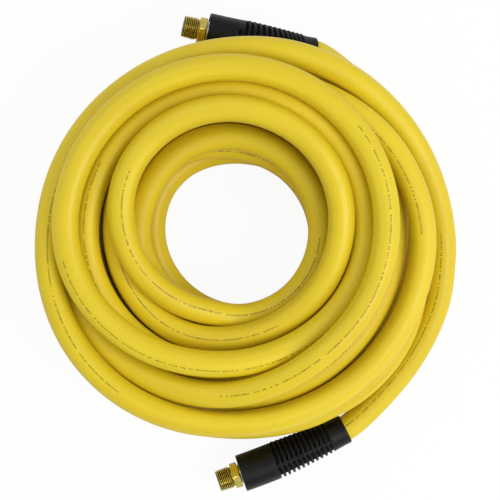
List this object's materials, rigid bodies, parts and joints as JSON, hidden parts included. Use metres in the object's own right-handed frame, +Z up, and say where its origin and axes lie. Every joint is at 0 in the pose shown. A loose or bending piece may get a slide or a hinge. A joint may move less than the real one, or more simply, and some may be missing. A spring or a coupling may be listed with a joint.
{
  "type": "coiled air hose with male pipe ends",
  "caption": "Coiled yellow rubber air hose with black slotted bend restrictors and brass male pipe-thread ends, lying flat.",
  "frame": {"origin": "on the plane the coil rests on, at the middle of the outline seen from above", "axes": "+Z up from the resting plane; +X and +Y lie in it, and the lower free end leaves the coil towards -Y"},
  "size_m": [0.327, 0.3746, 0.1179],
  "materials": {
    "hose": "satin yellow rubber cover with a fine knitted texture",
    "bend_restrictor": "satin black moulded rubber",
    "ferrule": "bright zinc plate",
    "fitting": "turned brass"
  },
  "bodies": {
    "coil": {"hose_coil": "hose"},
    "hose_a_1": {"hose_a_link_1": "hose"},
    "hose_a_2": {"hose_a_link_2": "hose"},
    "hose_a_3": {"hose_a_link_3": "hose"},
    "hose_a_4": {"hose_a_link_4": "hose"},
    "hose_a_5": {"hose_a_link_5": "hose"},
    "tail_a": {"hose_a_in_tail": "hose", "restrictor_a_tail": "bend_restrictor"},
    "ribs_a_1": {"hose_a_in_ribs_1": "hose", "restrictor_a_ribs_1": "bend_restrictor"},
    "ribs_a_2": {"hose_a_in_ribs_2": "hose", "restrictor_a_ribs_2": "bend_restrictor"},
    "end_a": {"hose_a_in_ferrule": "hose", "restrictor_a_collar": "bend_restrictor", "ferrule_a": "ferrule", "fitting_a": "fitting"},
    "hose_b_1": {"hose_b_link_1": "hose"},
    "hose_b_2": {"hose_b_link_2": "hose"},
    "tail_b": {"hose_b_in_tail": "hose", "restrictor_b_tail": "bend_restrictor"},
    "ribs_b_1": {"hose_b_in_ribs_1": "hose", "restrictor_b_ribs_1": "bend_restrictor"},
    "ribs_b_2": {"hose_b_in_ribs_2": "hose", "restrictor_b_ribs_2": "bend_restrictor"},
    "end_b": {"hose_b_in_ferrule": "hose", "restrictor_b_collar": "bend_restrictor", "ferrule_b": "ferrule", "fitting_b": "fitting"}
  },
  "joints": [
    {"name": "end_a_swing", "type": "hinge", "parent": "coil", "child": "hose_a_1", "pos_m": [0.15183, -0.03557, 0.02751], "axis": [0, 0, 1], "range_deg": [0, 18], "stiffness_Nm_per_rad": 0.5},
    {"name": "end_a_swing_2", "type": "hinge", "parent": "hose_a_1", "child": "hose_a_2", "pos_m": [0.14326, -0.06021, 0.02269], "axis": [0, 0, 1], "range_deg": [0, 18], "stiffness_Nm_per_rad": 0.5},
    {"name": "end_a_swing_3", "type": "hinge", "parent": "hose_a_2", "child": "hose_a_3", "pos_m": [0.13074, -0.08352, 0.01849], "axis": [0, 0, 1], "range_deg": [0, 18], "stiffness_Nm_per_rad": 0.5},
    {"name": "end_a_lift", "type": "hinge", "parent": "hose_a_3", "child": "hose_a_4", "pos_m": [0.11674, -0.10258, 0.01552], "axis": [-0.7701, 0.6379, 0], "range_deg": [0, 12], "stiffness_Nm_per_rad": 0.5},
    {"name": "end_a_lift_2", "type": "hinge", "parent": "hose_a_4", "child": "hose_a_5", "pos_m": [0.10282, -0.11823, 0.01345], "axis": [-0.7256, 0.6881, 0], "range_deg": [0, 12], "stiffness_Nm_per_rad": 0.5},
    {"name": "end_a_lift_3", "type": "hinge", "parent": "hose_a_5", "child": "tail_a", "pos_m": [0.0886, -0.13204, 0.01247], "axis": [-0.6419, 0.7668, 0], "range_deg": [0, 12], "stiffness_Nm_per_rad": 0.5},
    {"name": "end_a_flex", "type": "hinge", "parent": "tail_a", "child": "ribs_a_1", "pos_m": [0.05842, -0.14877, 0.01368], "axis": [0, 0, 1], "range_deg": [-3, 8], "stiffness_Nm_per_rad": 0.8},
    {"name": "end_a_flex_2", "type": "hinge", "parent": "ribs_a_1", "child": "ribs_a_2", "pos_m": [0.04758, -0.15366, 0.01437], "axis": [0, 0, 1], "range_deg": [-3, 8], "stiffness_Nm_per_rad": 0.8},
    {"name": "end_a_flex_3", "type": "hinge", "parent": "ribs_a_2", "child": "end_a", "pos_m": [0.03666, -0.15835, 0.01506], "axis": [0, 0, 1], "range_deg": [-3, 8], "stiffness_Nm_per_rad": 0.8},
    {"name": "end_b_swing", "type": "hinge", "parent": "coil", "child": "hose_b_1", "pos_m": [0.11259, 0.11075, 0.00992], "axis": [0, 0, -1], "range_deg": [0, 18], "stiffness_Nm_per_rad": 0.5},
    {"name": "end_b_swing_2", "type": "hinge", "parent": "hose_b_1", "child": "hose_b_2", "pos_m": [0.09645, 0.12828, 0.01009], "axis": [0, 0, -1], "range_deg": [0, 18], "stiffness_Nm_per_rad": 0.5},
    {"name": "end_b_swing_3", "type": "hinge", "parent": "hose_b_2", "child": "tail_b", "pos_m": [0.07837, 0.14439, 0.01085], "axis": [0, 0, -1], "range_deg": [0, 18], "stiffness_Nm_per_rad": 0.5},
    {"name": "end_b_flex", "type": "hinge", "parent": "tail_b", "child": "ribs_b_1", "pos_m": [0.03384, 0.16189, 0.02315], "axis": [0, 0, -1], "range_deg": [0, 8], "stiffness_Nm_per_rad": 0.8},
    {"name": "end_b_flex_2", "type": "hinge", "parent": "ribs_b_1", "child": "ribs_b_2", "pos_m": [0.02334, 0.16334, 0.02856], "axis": [0, 0, -1], "range_deg": [0, 8], "stiffness_Nm_per_rad": 0.8},
    {"name": "end_b_flex_3", "type": "hinge", "parent": "ribs_b_2", "child": "end_b", "pos_m": [0.01211, 0.16508, 0.03205], "axis": [0, 0, -1], "range_deg": [0, 8], "stiffness_Nm_per_rad": 0.8}
  ],
  "couplings": [
    {"joint": "end_a_swing_2", "follows": "end_a_swing", "ratio": 1},
    {"joint": "end_a_swing_3", "follows": "end_a_swing", "ratio": 1},
    {"joint": "end_a_lift_2", "follows": "end_a_lift", "ratio": 1},
    {"joint": "end_a_lift_3", "follows": "end_a_lift", "ratio": 1},
    {"joint": "end_a_flex_2", "follows": "end_a_flex", "ratio": 1},
    {"joint": "end_a_flex_3", "follows": "end_a_flex", "ratio": 1},
    {"joint": "end_b_swing_2", "follows": "end_b_swing", "ratio": 1},
    {"joint": "end_b_swing_3", "follows": "end_b_swing", "ratio": 1},
    {"joint": "end_b_flex_2", "follows": "end_b_flex", "ratio": 1},
    {"joint": "end_b_flex_3", "follows": "end_b_flex", "ratio": 1}
  ]
}
